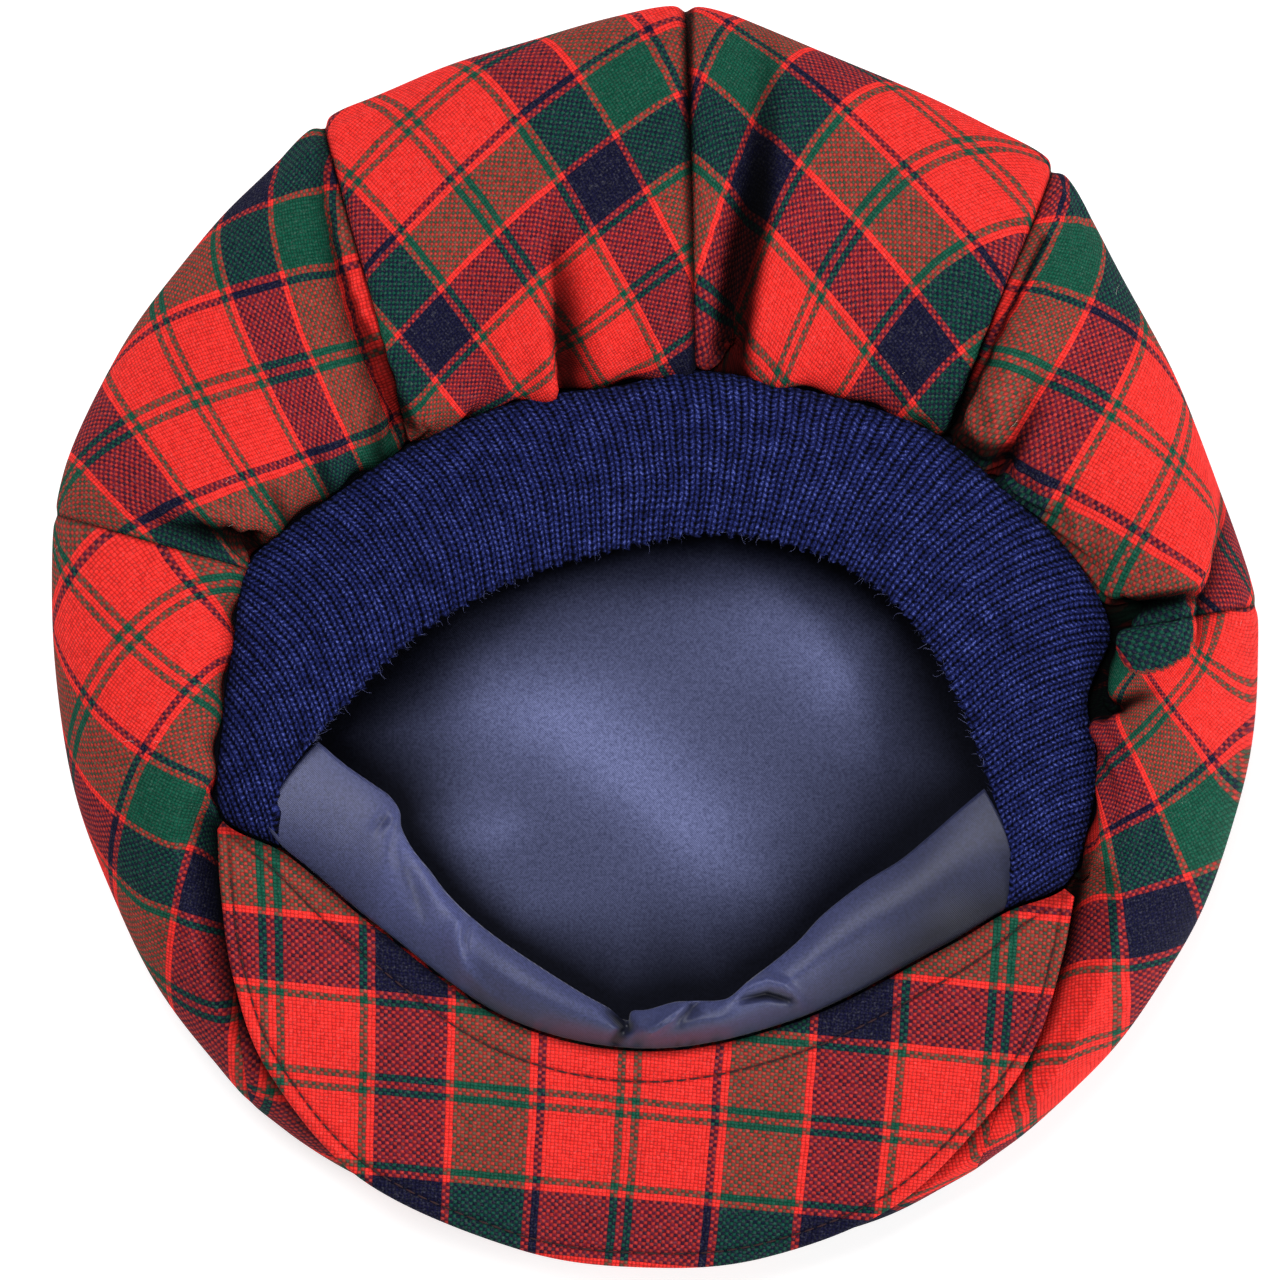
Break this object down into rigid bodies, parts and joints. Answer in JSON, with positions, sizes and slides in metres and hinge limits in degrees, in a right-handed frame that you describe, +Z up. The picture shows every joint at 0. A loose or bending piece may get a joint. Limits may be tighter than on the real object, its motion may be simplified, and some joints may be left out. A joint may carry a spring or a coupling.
{
  "type": "flat cap",
  "caption": "Full-crowned tartan flat cap lying upside down on its crown: sewn crown panels, stiff curved peak, rib-knit back band, satin front facing, open lined hollow.",
  "frame": {"origin": "middle of the cap's plan at the level it rests on", "axes": "+Z up out of the opening as the cap lies upside down, -Y towards the peak, +Y towards the back of the head, +X to the right seen from above"},
  "size_m": [0.2811, 0.2947, 0.0621],
  "materials": {
    "tartan_wool": "matte plain-weave wool in a red, green and navy tartan",
    "navy_rib_knit": "matte rib knit",
    "navy_satin": "soft satin sheen"
  },
  "bodies": {
    "root": {"crown_panel_side_right_back": "tartan_wool", "crown_panel_back_right": "tartan_wool", "crown_panel_back_left": "tartan_wool", "crown_panel_side_left_back": "tartan_wool", "crown_panel_side_left_front": "tartan_wool", "crown_panel_front_left": "tartan_wool", "crown_panel_front_right": "tartan_wool", "crown_panel_side_right_front": "tartan_wool", "lining": "navy_satin", "knit_band": "navy_rib_knit", "peak": "tartan_wool", "front_facing": "navy_satin"}
  },
  "joints": []
}
